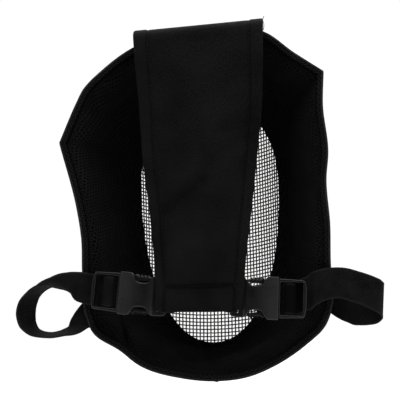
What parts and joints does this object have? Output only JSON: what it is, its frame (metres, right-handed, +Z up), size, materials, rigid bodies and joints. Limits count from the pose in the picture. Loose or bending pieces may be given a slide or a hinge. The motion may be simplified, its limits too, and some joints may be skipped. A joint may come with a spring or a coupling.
{
  "type": "fencing mask",
  "caption": "Full-face mask with a soft padded shell, a domed wire-mesh window, a flap over the head and buckled elastic straps.",
  "frame": {"origin": "the crown seat: the top of the lining's inner face, 45 mm in front of the open rim, where the mask rests on the head", "axes": "+Z up, +Y the way the wearer looks, so the open back with its flap faces -Y; +X to the wearer's right"},
  "size_m": [0.3039, 0.1504, 0.295],
  "materials": {
    "woven_nylon": "matt black, plain close weave",
    "spacer_mesh_knit": "matt black spacer knit with a honeycomb face",
    "painted_steel_wire": "satin black paint on woven wire",
    "elastic_webbing": "black elastic, ribbed across",
    "moulded_acetal": "satin black with a fine moulded grain"
  },
  "bodies": {
    "root": {"shell_cover": "woven_nylon", "shell_lining": "spacer_mesh_knit", "mesh_visor": "painted_steel_wire", "head_flap": "woven_nylon", "flap_tab_left": "elastic_webbing", "buckle_socket_left": "moulded_acetal", "buckle_latch_left": "moulded_acetal", "strap_left": "elastic_webbing", "flap_tab_right": "elastic_webbing", "buckle_socket_right": "moulded_acetal", "buckle_latch_right": "moulded_acetal", "strap_right": "elastic_webbing"}
  },
  "joints": []
}
